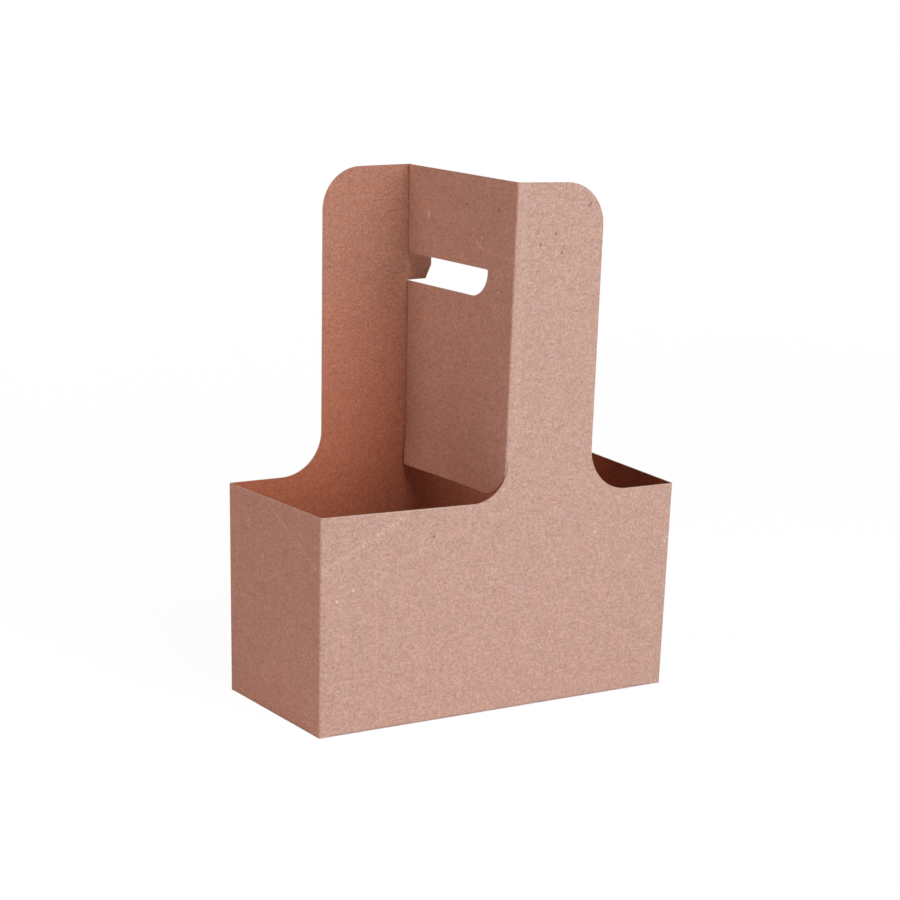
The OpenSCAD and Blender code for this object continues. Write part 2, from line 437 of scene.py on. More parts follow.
@dataclass
class Blank:
    """The die-cut sheet: panels drawn flat, cut into a grid and folded up.

    Args:
        sizes: sizes of the carrier and its sheet.
        spacing: distance between the grid lines.
        bend_clear: distance that they keep from the bend lines.
        climb_steps: number of grid lines on the slope of an end flap.
        map_span: width of sheet that fills the map from 0 to 1.
        map_margin: distance of the sheet from the map's edge.
        map_corner: place on the sheet of the map's lower left corner, in millimetres.
        round_segments: number of flats on a rounded corner.
        sharp_angle: angle between faces from which their edge is sharp, in degrees.
        mesh: the sheet.
    """

    sizes: SheetSizes
    spacing: float = 4 * MM
    bend_clear: float = 1 * MM
    climb_steps: int = 4
    map_span: float = MAP_SPAN * MM
    map_margin: float = 1.5 * MM
    map_corner: Pair = (0.0, 0.0)
    round_segments: int = 16
    sharp_angle: float = 40.0
    mesh: bmesh.types.BMesh = field(default_factory=bmesh.new)

    def outlines(self) -> dict[Panel, list[Corner]]:
        """Draws the outline of every panel, anticlockwise on the sheet."""
        return {**self.wall_outlines(), **self.handle_outlines(), **self.base_outlines()}

    def wall_outlines(self) -> dict[Panel, list[Corner]]:
        """Draws the tray walls, with the handle panels that rise from the long ones.

        Returns:
            The outlines of the walls and the seam tab.
        """
        s = self.sizes
        half = s.wall_half
        back_outer = s.back_middle + s.back_handle
        back_relief = s.back_fold - s.flap_relief
        back_raw = s.back_start - 2 * half + s.seam_gap
        right_corner = s.right_start + 2 * s.side_half
        seam_start = s.right_end + s.arc
        return {
            Panel.FRONT_WALL: [
                *self.foot_outline(-half, half, -half + s.long_relief, half - s.long_relief),
                Corner(half, s.rim),
                Corner(s.handle, s.rim, s.foot),
                Corner(s.handle, s.height, s.handle_corner),
                Corner(s.front_fold, s.height),
                Corner(s.front_fold, s.rim - s.rim_fall, s.fold_foot),
                Corner(-half, s.rim),
            ],
            Panel.LEFT_WALL: [
                *self.foot_outline(
                    s.left_end, -half, s.left_end + s.end_relief, s.left_start - s.end_relief
                ),
                Corner(-half, s.rim),
                Corner(s.left_end, s.rim),
            ],
            Panel.BACK_WALL: [
                *self.foot_outline(
                    back_raw,
                    s.left_end,
                    s.back_middle - half + s.long_relief,
                    s.back_start - s.long_relief,
                ),
                Corner(s.left_end, s.rim),
                Corner(back_outer, s.rim, s.foot),
                Corner(back_outer, s.height, s.handle_corner),
                Corner(s.back_fold, s.height),
                Corner(s.back_fold, s.flap_low - s.relief_slit),
                Corner(back_relief, s.flap_low - s.relief_slit),
                Corner(back_relief, s.rim, s.fold_foot - s.flap_relief),
                Corner(back_raw, s.rim),
            ],
            Panel.RIGHT_WALL: [
                *self.foot_outline(
                    half, s.right_end, s.right_start + s.end_relief, right_corner - s.end_relief
                ),
                Corner(s.right_end, s.rim),
                Corner(half, s.rim),
            ],
            Panel.SEAM_TAB: [
                Corner(s.right_end, s.seam_low),
                Corner(seam_start, s.seam_low),
                Corner(seam_start + s.seam, s.seam_low + s.seam_taper),
                Corner(seam_start + s.seam, s.rim - s.seam_taper),
                Corner(seam_start, s.rim),
                Corner(s.right_end, s.rim),
            ],
        }

    def foot_outline(self, first: float, last: float, flap_first: float, flap_last: float) -> list[Corner]:
        """Draws the lower edge of a wall: a raw edge on the floor either side of its base flap.

        Args:
            first: where the wall begins.
            last: where it ends.
            flap_first: where its base flap begins.
            flap_last: where the flap ends.

        Returns:
            The corners of the lower edge.
        """
        s = self.sizes
        return [
            Corner(first, s.toe),
            Corner(flap_first - s.slit, s.toe),
            Corner(flap_first - s.slit, s.base_z),
            Corner(flap_last + s.slit, s.base_z),
            Corner(flap_last + s.slit, s.toe),
            Corner(last, s.toe),
        ]

    def handle_outlines(self) -> dict[Panel, list[Corner]]:
        """Draws what is folded off the handle panels.

        Returns:
            The outlines of the divider, the two lengths of glue flap and the slot tab.
        """
        s = self.sizes
        divider_start = s.front_fold - s.arc
        divider_end = divider_start - 2 * s.side_half + s.divider_gap
        slot_end = divider_start - s.slot_land + s.fold
        divider_low = s.rim + s.divider_rise
        tab_end = s.back_fold - s.flap
        tab_low = s.slot_bottom + s.tab_short
        return {
            Panel.DIVIDER: [
                Corner(s.front_fold, divider_low, s.fold_foot + s.corner_ease),
                Corner(s.front_fold, s.height),
                Corner(divider_end, s.height),
                Corner(divider_end, s.slot_top, s.slot_lip),
                Corner(slot_end, s.slot_top, s.slot_top_corner),
                Corner(slot_end, s.slot_bottom, s.slot_corner),
                Corner(divider_end, s.slot_bottom),
                Corner(divider_end, s.flap_low),
                Corner(divider_end + s.heel_gap, divider_low + s.heel_rise),
            ],
            Panel.LOW_GLUE_FLAP: self.glue_flap_outline(s.flap_low, s.slot_bottom - s.flap_cut),
            Panel.HIGH_GLUE_FLAP: self.glue_flap_outline(s.slot_top + s.flap_cut, s.height),
            Panel.SLOT_TAB: [
                Corner(tab_end + s.tab_cut, tab_low),
                Corner(s.back_fold, tab_low),
                Corner(s.back_fold, s.slot_top),
                Corner(tab_end, s.slot_top),
                Corner(tab_end, tab_low + s.tab_cut_height),
            ],
        }

    def glue_flap_outline(self, low: float, high: float) -> list[Corner]:
        """Draws one length of the glue flap.

        Args:
            low: its lower end.
            high: its upper end.

        Returns:
            Its outline.
        """
        s = self.sizes
        start = s.back_fold - s.arc
        end = start - s.flap
        return [
            Corner(start, low),
            Corner(s.back_fold, low),
            Corner(s.back_fold, high),
            Corner(start, high),
            Corner(end, high - s.flap_taper),
            Corner(end, low + s.flap_taper),
        ]

    def base_outlines(self) -> dict[Panel, list[Corner]]:
        """Draws the four flaps of the self-locking base.

        Returns:
            Their outlines.
        """
        s = self.sizes
        left_middle = s.left_start - s.side_half
        right_middle = s.right_start + s.side_half
        return {
            Panel.FRONT_FLAP: self.long_flap_outline(0.0),
            Panel.BACK_FLAP: self.long_flap_outline(s.back_middle),
            Panel.LEFT_FLAP: self.end_flap_outline(left_middle),
            Panel.RIGHT_FLAP: self.end_flap_outline(right_middle),
        }

    def long_flap_outline(self, middle: float) -> list[Corner]:
        """Draws a long base flap, whose right half ends in a locking tongue.

        Args:
            middle: the flap's middle on the sheet.

        Returns:
            Its outline.
        """
        s = self.sizes
        half = s.wall_half - s.long_relief
        fold_end = s.base_v(0)
        meet = s.flap_meet
        climb = meet + s.lock_climb
        reach = s.base_v(s.side_half + s.lock_reach)
        near, far = s.tongue(middle)
        cut = s.lock_corner
        return [
            Corner(middle - half, meet),
            Corner(near - s.lock_slit, meet),
            Corner(near - s.lock_slit, climb),
            Corner(near, climb),
            Corner(near, reach + cut),
            Corner(near + cut, reach),
            Corner(far - cut, reach),
            Corner(far, reach + cut),
            Corner(far, climb),
            Corner(far + s.lock_slit, climb),
            Corner(far + s.lock_slit, meet),
            Corner(middle + half - s.long_flap_taper, meet),
            Corner(middle + half, fold_end),
            Corner(middle + half, s.base_z),
            Corner(middle - half, s.base_z),
        ]

    def end_flap_outline(self, middle: float) -> list[Corner]:
        """Draws an end flap of the base.

        Args:
            middle: the flap's middle on the sheet.

        Returns:
            Its outline.
        """
        s = self.sizes
        half = s.side_half - s.end_relief
        fold_end = s.base_v(0)
        free = s.base_v(s.end_flap)
        return [
            Corner(middle - half + s.end_flap_free_taper, free),
            Corner(middle + half - s.end_flap_glue_taper, free),
            Corner(middle + half, fold_end),
            Corner(middle + half, s.base_z),
            Corner(middle - half, s.base_z),
            Corner(middle - half, fold_end),
        ]

    def creases(self) -> list[Crease]:
        """Lists the folds.

        Returns:
            The folds, the outermost first.
        """
        s = self.sizes
        flaps = (Panel.FRONT_FLAP, Panel.BACK_FLAP, Panel.LEFT_FLAP, Panel.RIGHT_FLAP)
        glue = frozenset({Panel.LOW_GLUE_FLAP, Panel.HIGH_GLUE_FLAP})
        back = glue | {Panel.BACK_WALL, Panel.BACK_FLAP, Panel.SLOT_TAB}
        left = back | {Panel.LEFT_WALL, Panel.LEFT_FLAP}
        right = frozenset({Panel.RIGHT_WALL, Panel.RIGHT_FLAP, Panel.SEAM_TAB})
        return [
            *(Crease(Across.V, s.base_z, -1, frozenset({flap})) for flap in flaps),
            Crease(Across.U, s.back_fold, -1, glue),
            Crease(Across.U, s.right_end, 1, frozenset({Panel.SEAM_TAB})),
            Crease(Across.U, s.front_fold, -1, frozenset({Panel.DIVIDER})),
            Crease(Across.U, s.left_end, -1, back),
            Crease(Across.U, -s.wall_half, -1, left),
            Crease(Across.U, s.wall_half, 1, right),
        ]

    def cut_out(self) -> None:
        """Makes the flat panels, with their rounded corners."""
        tag = self.mesh.faces.layers.int.new(PANEL_TAG)
        self.mesh.verts.layers.float.new(FOLD_WEAR)
        for panel, corners in self.outlines().items():
            verts = [self.mesh.verts.new((c.u, c.v, 0)) for c in corners]
            self.mesh.faces.new(verts)
            for vert, corner in zip(verts, corners):
                if corner.radius:
                    bmesh.ops.bevel(
                        self.mesh,
                        geom=[vert],
                        offset=corner.radius,
                        offset_type="OFFSET",
                        segments=self.round_segments,
                        profile=0.5,
                        affect="VERTICES",
                        material=-1,
                    )
            for face in self.mesh.faces:
                if face[tag] == 0:
                    face[tag] = panel

    def grid_lines(self, across: Across) -> list[float]:
        """Works out where the sheet is cut into a grid.

        Args:
            across: the axis that the lines cross.

        Returns:
            The bend lines of the folds on that axis, with even lines between them.
        """
        bends = {
            round(line, LINE_DIGITS)
            for crease in self.creases()
            if crease.across is across
            for line in crease.lines(self.sizes.arc)
        }
        if across is Across.V:
            s = self.sizes
            bends |= {s.flap_meet, s.flap_meet + s.lock_climb, s.seam_low, s.rim}
            steps = range(1, self.climb_steps + 1)
            bends |= {s.base_v(s.end_flap_climb * step / self.climb_steps) for step in steps}
        places = [v.co[across] for v in self.mesh.verts]
        first, last = min(places), max(places)
        count = round((last - first) / self.spacing)
        even = [first + (last - first) * step / count for step in range(1, count)]
        return sorted(bends | {x for x in even if all(abs(x - b) > self.bend_clear for b in bends)})

    def cut_grid(self) -> None:
        """Cuts the panels into a grid and joins them along their creases."""
        for across in Across:
            normal = Vector((0, 0, 0))
            normal[across] = 1
            for line in self.grid_lines(across):
                bmesh.ops.bisect_plane(
                    self.mesh,
                    geom=self.mesh.verts[:] + self.mesh.edges[:] + self.mesh.faces[:],
                    dist=FINE_TOUCH,
                    plane_co=normal * line,
                    plane_no=normal,
                )
        bmesh.ops.remove_doubles(self.mesh, verts=self.mesh.verts[:], dist=2 * TOUCH)

    def map_flat(self) -> None:
        """Keeps each corner's place on the flat sheet as its place on the map."""
        layer = self.mesh.loops.layers.uv.new(SHEET_MAP)
        low_u = min(v.co.x for v in self.mesh.verts) - self.map_margin
        low_v = min(v.co.y for v in self.mesh.verts) - self.map_margin
        self.map_corner = (low_u / MM, low_v / MM)
        for face in self.mesh.faces:
            for loop in face.loops:
                co = loop.vert.co
                loop[layer].uv = ((co.x - low_u) / self.map_span, (co.y - low_v) / self.map_span)

    def raise_tongues(self) -> None:
        """Lifts the locking tongues on to the flaps that they hold."""
        s = self.sizes
        for panel, middle in ((Panel.FRONT_FLAP, 0.0), (Panel.BACK_FLAP, s.back_middle)):
            near, far = s.tongue(middle)
            for vert in panel_points(self.mesh, {panel}):
                if near - TOUCH <= vert.co.x <= far + TOUCH:
                    self.lift(vert, (s.flap_meet + s.lock_climb - vert.co.y) / s.lock_climb)

    def raise_end_flaps(self) -> None:
        """Lifts the end flaps of the base on to the long ones."""
        s = self.sizes
        for vert in panel_points(self.mesh, {Panel.LEFT_FLAP, Panel.RIGHT_FLAP}):
            self.lift(vert, (s.base_v(0) - vert.co.y) / s.end_flap_climb)

    def lift(self, vert: bmesh.types.BMVert, share: float) -> None:
        """Lifts a point on to the flap below its own, by its share of the way up the slope."""
        share = clamp(share)
        vert.co.z += (self.sizes.board + self.sizes.glue) * share * share * (3 - 2 * share)

    def fold_up(self, stance: Stance) -> None:
        """Folds the sheet and stands it in the frame of the part.

        Args:
            stance: how the folded carrier stands.
        """
        for crease in self.creases():
            crease.fold(self.mesh, self.sizes.arc)
        upright = Matrix(((1, 0, 0, 0), (0, 0, 1, -self.sizes.depth / 2), (0, 1, 0, 0), (0, 0, 0, 1)))
        bmesh.ops.transform(self.mesh, matrix=upright, verts=self.mesh.verts[:])
        for vert in self.mesh.verts:
            vert.co = stance.place(vert.co, self.sizes)
        self.mesh.normal_update()

    def thicken(self) -> None:
        """Gives the board its thickness, inwards, and tells cut edges from faces."""
        outer = set(self.mesh.verts)
        layer = self.mesh.loops.layers.uv[SHEET_MAP]
        bmesh.ops.solidify(self.mesh, geom=self.mesh.faces[:], thickness=self.sizes.board)
        for face in self.mesh.faces:
            face.smooth = True
            shared = sum(v in outer for v in face.verts)
            if 0 < shared < len(face.verts):
                face.material_index = Face.CUT_EDGE
                self.map_cut_edge(face, outer, layer)
            elif shared == 0:
                for loop in face.loops:
                    loop[layer].uv.y += INNER_HALF
        for edge in self.mesh.edges:
            edge.smooth = edge.calc_face_angle(0.0) < math.radians(self.sharp_angle)

    def map_cut_edge(
        self, face: bmesh.types.BMFace, outer: set[bmesh.types.BMVert], layer: bmesh.types.BMLayerItem
    ) -> None:
        """Lays a face of the cut edge beside its panel on the map.

        Args:
            face: the face.
            outer: the points of the sheet's drawn side.
            layer: the map.
        """
        edge = next(e for e in face.edges if e.verts[0] in outer and e.verts[1] in outer)
        panel = next(f for f in edge.link_faces if f is not face)
        places = {loop.vert: loop[layer].uv.copy() for loop in panel.loops}
        middle = sum(places.values(), Vector((0, 0))) / len(places)
        first, second = (places[v] for v in edge.verts)
        along = second - first
        away = Vector((along.y, -along.x)).normalized()
        if away.dot(first - middle) < 0:
            away.negate()
        for loop in face.loops:
            if loop.vert in outer:
                loop[layer].uv = places[loop.vert]
            else:
                partner = min(edge.verts, key=lambda v: (v.co - loop.vert.co).length)
                loop[layer].uv = places[partner] + away * (self.sizes.board / self.map_span)

    def sort_faces(self) -> None:
        """Puts the cut edge's faces after the others, in the order of their points, for every run."""
        self.mesh.verts.index_update()
        self.mesh.faces.index_update()
        first = len(self.mesh.faces)
        row = len(self.mesh.verts)

        def order(face: bmesh.types.BMFace) -> int:
            """Gives a face its place in the order."""
            if face.material_index == Face.BOARD:
                return face.index
            low, high = sorted(v.index for v in face.verts)[:2]
            return first + low * row + high

        self.mesh.faces.sort(key=order)

    def build(self, stance: Stance) -> bmesh.types.BMesh:
        """Runs the sheet through every step.

        Args:
            stance: how the folded carrier stands.

        Returns:
            The folded board.
        """
        self.cut_out()
        self.cut_grid()
        self.map_flat()
        self.raise_tongues()
        self.raise_end_flaps()
        self.fold_up(stance)
        self.thicken()
        self.sort_faces()
        return self.mesh


class Nodes:
    """Lays nodes into the tree of a material or a world, and links them."""

    def __init__(self, owner: bpy.types.Material | bpy.types.World) -> None:
        """Starts an empty node tree.

        Args:
            owner: what the nodes belong to.
        """
        owner.use_nodes = True
        self.owner = owner
        self.tree = owner.node_tree
        self.tree.nodes.clear()

    def add(self, kind: str, **settings: object) -> bpy.types.Node:
        """Adds a node.

        Args:
            kind: the node's type, without its prefix.
            settings: its properties.

        Returns:
            The node.
        """
        node = self.tree.nodes.new("ShaderNode" + kind)
        for key, value in settings.items():
            setattr(node, key, value)
        return node

    def fill(self, node: bpy.types.Node, values: dict[str | int, object]) -> bpy.types.Node:
        """Links outputs into a node's inputs, and sets other inputs to constants.

        Args:
            node: the node.
            values: a node's output, a number, a colour or a vector for each input.

        Returns:
            The node.
        """
        for key, value in values.items():
            if isinstance(value, bpy.types.NodeSocket):
                self.tree.links.new(value, node.inputs[key])
            else:
                node.inputs[key].default_value = value
        return node

    def math(self, operation: str, *values: object) -> bpy.types.NodeSocket:
        """Adds a Math node and gives its output."""
        return self.fill(self.add("Math", operation=operation), dict(enumerate(values))).outputs[0]

    def vector(self, operation: str, *values: object) -> bpy.types.NodeSocket:
        """Adds a Vector Math node and gives its vector, or its number where it has one."""
        node = self.fill(self.add("VectorMath", operation=operation), dict(enumerate(values)))
        return next(socket for socket in node.outputs if socket.enabled)

    def noise(
        self, place: object, scale: float, detail: float, roughness: float = 0.5
    ) -> bpy.types.NodeSocket:
        """Adds a Noise texture and gives its value, about 0.5 on the mean."""
        values = {"Vector": place, "Scale": scale, "Detail": detail, "Roughness": roughness}
        return self.fill(self.add("TexNoise", noise_dimensions="3D"), values).outputs["Fac"]

    def remap(
        self, value: object, low: float, high: float, to_low: float = 0.0, to_high: float = 1.0
    ) -> bpy.types.NodeSocket:
        """Maps a value from one range to another, and keeps it within that."""
        values = dict(enumerate((value, low, high, to_low, to_high)))
        return self.fill(self.add("MapRange", clamp=True), values).outputs[0]

    def tint(self, share: object, base: object, over: object, blend: str = "MIX") -> bpy.types.NodeSocket:
        """Mixes a share of a second colour over the first."""
        # A Mix node has its inputs and outputs for colours after those for numbers and vectors.
        node = self.add("Mix", data_type="RGBA", blend_type=blend)
        return self.fill(node, {0: share, 6: base, 7: over}).outputs[2]

    def turned(self, place: object, scale: Triple, angle: float) -> bpy.types.NodeSocket:
        """Stretches a place on each axis, and turns it in the sheet's plane by an angle in degrees."""
        values = {"Vector": place, "Rotation": (0, 0, math.radians(angle)), "Scale": scale}
        return self.fill(self.add("Mapping", vector_type="POINT"), values).outputs["Vector"]

    def blend(self, share: object, first: bpy.types.Node, second: bpy.types.Node) -> bpy.types.Node:
        """Mixes a share of a second shader over the first."""
        return self.fill(self.add("MixShader"), {0: share, 1: first.outputs[0], 2: second.outputs[0]})

    def show(self, shader: bpy.types.Node) -> None:
        """Makes a shader the surface of what the nodes belong to."""
        kind = "OutputWorld" if isinstance(self.owner, bpy.types.World) else "OutputMaterial"
        self.fill(self.add(kind), {"Surface": shader.outputs[0]})


class SheetNodes(Nodes):
    """Nodes of a material that follows the flat sheet."""

    def __init__(self, name: str, corner: Pair) -> None:
        """Starts a material and reads the place on the sheet, in millimetres.

        Args:
            name: name of the material.
            corner: the place of the map's lower left corner.
        """
        super().__init__(bpy.data.materials.new(name))
        source = self.add("UVMap", uv_map=SHEET_MAP)
        self.corner = corner
        self.place = self.vector("MULTIPLY_ADD", source.outputs["UV"], (MAP_SPAN,) * 3, (*corner, 0))


@dataclass(frozen=True)
class Streak:
    """A straight mark on the flat sheet, in millimetres.

    Args:
        start: one end.
        end: the other end.
        width: distance from its line at which it has faded out.
        share: how much of its colour shows.
        flecked: whether it is broken into flecks.
        fleck_scale: flecks in each millimetre.
        fleck_range: noise levels between which a fleck comes out.
    """

    start: Pair
    end: Pair
    width: float
    share: float
    flecked: bool = False
    fleck_scale: float = 0.9
    fleck_range: Pair = (0.5, 0.62)

    def lay(self, nodes: SheetNodes) -> bpy.types.NodeSocket:
        """Lays the mark.

        Args:
            nodes: the material's nodes.

        Returns:
            How much of the mark shows at a place.
        """
        line = Vector((*self.end, 0)) - Vector((*self.start, 0))
        along = line.normalized()
        offset = nodes.vector("SUBTRACT", nodes.place, (*self.start, 0))
        reach = nodes.remap(nodes.vector("DOT_PRODUCT", offset, along), 0, line.length, 0, line.length)
        foot = nodes.vector("MULTIPLY", reach, along)
        shown = nodes.remap(nodes.vector("DISTANCE", offset, foot), self.width, 0, 0, self.share)
        if self.flecked:
            spots = nodes.noise(nodes.place, self.fleck_scale, detail=1.0)
            shown = nodes.math("MULTIPLY", shown, nodes.remap(spots, *self.fleck_range))
        return shown


@dataclass(frozen=True)
class KraftBoard:
    """Uncoated kraft board: brown pulp with cloudy formation, fibres and specks.

    Lengths in the pattern are millimetres on the flat sheet.

    Args:
        inner_painted_shade_low: tint of the inside at the lower of the two heights in
            inner_painted_shade_range, darker and redder there as painted shade deep in the tray.
        inner_high: its tint at the higher one.
        grain: spots in each millimetre, and strength, of each layer of the grain.
        gains: strength of the grain in red, green and blue.
        mottle: change of colour from patch to patch, with mottle_scale patches in a millimetre.
        fibre_stretch: shape of the fibres.
        fibre_edge: step of noise from where a fibre begins to its full strength.
        fibre_height: height of a pale fibre in the bump, beside that of the grain.
        pale_fibres: direction in degrees, and noise level, of each set of pale fibres.
        dark_fibres: the same for dark fibres.
        pale_share: strength of the pale fibres, and the next two of dark ones and rubbed folds.
        tone_range: levels of the grain between which the roughness goes from end to end.
    """

    name: str = "kraft_board"
    base: Colour = (0.565, 0.325, 0.25, 1)
    # The inside has its own warmer tint, and it goes darker and redder towards the base as painted shade
    # of the tray's interior.
    inner_painted_shade_low: Colour = (0.88, 0.45, 0.30, 1)
    inner_high: Colour = (0.88, 0.67, 0.57, 1)
    inner_painted_shade_range: Pair = (90.0, 210.0)
    pale: Colour = (0.80, 0.62, 0.52, 1)
    dark: Colour = (0.20, 0.085, 0.045, 1)
    grain: tuple[Pair, ...] = ((1.6, 0.6), (0.8, 0.5), (0.4, 0.24), (0.2, 0.13), (0.1, 0.1))
    gains: Triple = (0.82, 1.0, 1.14)
    mottle: Triple = (0.07, -0.01, -0.13)
    mottle_scale: float = 0.13
    fibre_stretch: Triple = (0.45, 3.2, 1)
    fibre_edge: float = 0.06
    fibre_height: float = 0.4
    pale_fibres: tuple[Pair, ...] = ((25, 0.70), (115, 0.71))
    dark_fibres: tuple[Pair, ...] = ((70, 0.71), (-20, 0.71))
    pale_share: float = 0.35
    dark_share: float = 0.22
    rubbed_share: float = 0.06
    scuffs_and_painted_highlights: tuple[Streak, ...] = (
        Streak((-53.5, 96.5), (-93.8, 75.5), 1.7, 0.6, True),
        Streak((-95.8, 75.5), (-144.0, 98.4), 1.6, 0.6, True),
        # A pale band along the front fold: painted highlight where the rounded fold catches the light.
        Streak((3.4, 122.0), (3.4, 245.0), 4.5, 0.05),
        # Pale lines along the front rim: painted highlight where the rim's rounded top catches the light,
        # and partly the pale fibres of the cut edge.
        Streak((-93.8, 100.0), (-16.4, 99.6), 0.5, 0.45),
        Streak((67.8, 100.0), (93.8, 100.0), 0.5, 0.45),
        Streak((-30.6, 215.9), (-25.4, 213.0), 0.6, 0.6),
        Streak((-69.3, 222.9), (-68.8, 225.2), 1.2, 0.9),
    )
    stains: tuple[Streak, ...] = (Streak((38.6, 235.2), (39.6, 236.6), 0.8, 0.8),)
    pale_specks: tuple[Pair, ...] = (
        *((-25.9, 218.2), (-11.3, 194.9), (51.1, 80.5), (92.2, 71.8)),
        *((-162.3, 86.1), (-148.6, 72.2), (-86.6, 61.8), (-78.3, 66.1)),
    )
    dark_specks: tuple[Pair, ...] = (
        *((-13.1, 232.0), (-38.5, 232.1), (21.3, 222.5), (24.8, 214.0)),
        *((13.2, 217.8), (-37.1, 86.7), (-153.3, 58.3)),
    )
    speck_size: float = 1.0
    speck_share: float = 1.0
    tone_range: Pair = (-0.15, 0.15)
    roughness: Pair = (0.82, 0.94)
    specular: float = 0.1
    bump: float = 0.25
    bump_depth: float = 0.06 * MM

    def marks(
        self, nodes: SheetNodes, streaks: tuple[Streak, ...], specks: tuple[Pair, ...]
    ) -> bpy.types.NodeSocket:
        """Lays marks of one colour.

        Args:
            nodes: the material's nodes.
            streaks: the straight marks.
            specks: the places of the specks.

        Returns:
            How much of their colour shows.
        """
        shown = 0.0
        for streak in streaks:
            shown = nodes.math("MAXIMUM", streak.lay(nodes), shown)
        for spot in specks:
            away = nodes.vector("DISTANCE", nodes.place, (*spot, 0))
            speck = nodes.remap(away, self.speck_size, 0, 0, self.speck_share)
            shown = nodes.math("MAXIMUM", speck, shown)
        return shown

    def fibres(self, nodes: SheetNodes, sets: tuple[Pair, ...]) -> bpy.types.NodeSocket:
        """Draws short fibres.

        Args:
            nodes: the material's nodes.
            sets: direction in degrees, and noise level, of each set of fibres.

        Returns:
            How much of a fibre shows, from 0 to 1.
        """
        shown = 0.0
        for angle, low in sets:
            drawn = nodes.turned(nodes.place, self.fibre_stretch, angle)
            spots = nodes.noise(drawn, scale=1.0, detail=1.0, roughness=0.4)
            shown = nodes.math("MAXIMUM", nodes.remap(spots, low, low + self.fibre_edge), shown)
        return shown

    def tone(self, nodes: SheetNodes) -> bpy.types.NodeSocket:
        """Adds up the layers of the grain.

        Args:
            nodes: the material's nodes.

        Returns:
            The grain, about 0 on the mean.
        """
        tone = 0.0
        for scale, strength in self.grain:
            spots = nodes.math("SUBTRACT", nodes.noise(nodes.place, scale, detail=0.0), 0.5)
            tone = nodes.math("ADD", nodes.math("MULTIPLY", spots, strength), tone)
        return tone

    def pulp(self, nodes: SheetNodes, tone: object) -> bpy.types.NodeSocket:
        """Colours the pulp.

        Args:
            nodes: the material's nodes.
            tone: the grain.

        Returns:
            The board's colour with its grain and patches.
        """
        clouds = nodes.noise(nodes.place, self.mottle_scale, detail=1.0)
        patches = nodes.math("SUBTRACT", clouds, 0.5)
        hue = nodes.vector("MULTIPLY_ADD", patches, self.mottle, (1, 1, 1))
        spread = nodes.vector("MULTIPLY_ADD", tone, self.gains, hue)
        return nodes.tint(1.0, self.base, spread, "MULTIPLY")

    def inside(self, nodes: SheetNodes, colour: object) -> bpy.types.NodeSocket:
        """Tints the inside of the board, which has the upper half of the map, darker and redder towards
        the base of the tray as painted shade.

        Args:
            nodes: the material's nodes.
            colour: the colour of the outside.

        Returns:
            The colour of both sides.
        """
        height = nodes.fill(nodes.add("SeparateXYZ"), {0: nodes.place}).outputs[1]
        shift = MAP_SPAN * INNER_HALF
        within = nodes.math("GREATER_THAN", height, nodes.corner[1] + shift)
        # Painted shade: the inside darkens and reddens from the higher height down to the lower.
        share = nodes.remap(height, *(shift + end for end in self.inner_painted_shade_range))
        inner = nodes.tint(share, self.inner_painted_shade_low, self.inner_high)
        return nodes.tint(within, colour, nodes.tint(1.0, colour, inner, "MULTIPLY"))

    def material(self, corner: Pair) -> bpy.types.Material:
        """Makes the board's material.

        Args:
            corner: the place on the sheet of the map's lower left corner, in millimetres.

        Returns:
            The material.
        """
        nodes = SheetNodes(self.name, corner)
        tone = self.tone(nodes)
        pale = self.fibres(nodes, self.pale_fibres)
        dark = self.fibres(nodes, self.dark_fibres)
        # Pale scuffs and specks, with painted highlights along the front fold and the front rim.
        scuffs_and_highlights_shown = self.marks(nodes, self.scuffs_and_painted_highlights, self.pale_specks)
        stained = self.marks(nodes, self.stains, self.dark_specks)
        colour = self.pulp(nodes, tone)
        colour = nodes.tint(nodes.math("MULTIPLY", pale, self.pale_share), colour, self.pale)
        colour = nodes.tint(nodes.math("MULTIPLY", dark, self.dark_share), colour, self.dark)
        colour = nodes.tint(scuffs_and_highlights_shown, colour, self.pale)
        colour = nodes.tint(stained, colour, self.dark)
        colour = self.inside(nodes, colour)
        wear = nodes.add("Attribute", attribute_name=FOLD_WEAR)
        rubbed = nodes.math("MULTIPLY", wear.outputs["Fac"], self.rubbed_share)
        height = nodes.math("ADD", tone, nodes.math("MULTIPLY", pale, self.fibre_height))
        bump = {
            "Strength": self.bump,
            "Distance": self.bump_depth,
            "Height": nodes.math("ADD", height, scuffs_and_highlights_shown),
        }
        surface = {
            "Base Color": nodes.tint(rubbed, colour, self.pale),
            "Roughness": nodes.remap(tone, *self.tone_range, *self.roughness),
            "Specular IOR Level": self.specular,
            "Normal": nodes.fill(nodes.add("Bump"), bump).outputs["Normal"],
        }
        nodes.show(nodes.fill(nodes.add("BsdfPrincipled"), surface))
        return nodes.owner


@dataclass(frozen=True)
class CutEdge:
    """Die-cut edge of the board, paler than its faces and finely torn."""

    name: str = "kraft_cut_edge"
    base: Colour = (0.62, 0.42, 0.33, 1)
    pale: Colour = (0.75, 0.56, 0.47, 1)
    grain: float = 1500.0
    torn_range: Pair = (0.3, 0.7)
    roughness: float = 0.95
    specular: float = 0.2

    def material(self) -> bpy.types.Material:
        """Makes the cut edge's material.

        Returns:
            The material.
        """
        nodes = Nodes(bpy.data.materials.new(self.name))
        place = nodes.add("TexCoord").outputs["Object"]
        grain = nodes.noise(place, self.grain, detail=3.0, roughness=0.6)
        torn = nodes.remap(grain, *self.torn_range)
        surface = {
            "Base Color": nodes.tint(torn, self.base, self.pale),
            "Roughness": self.roughness,
            "Specular IOR Level": self.specular,
        }
        nodes.show(nodes.fill(nodes.add("BsdfPrincipled"), surface))
        return nodes.owner


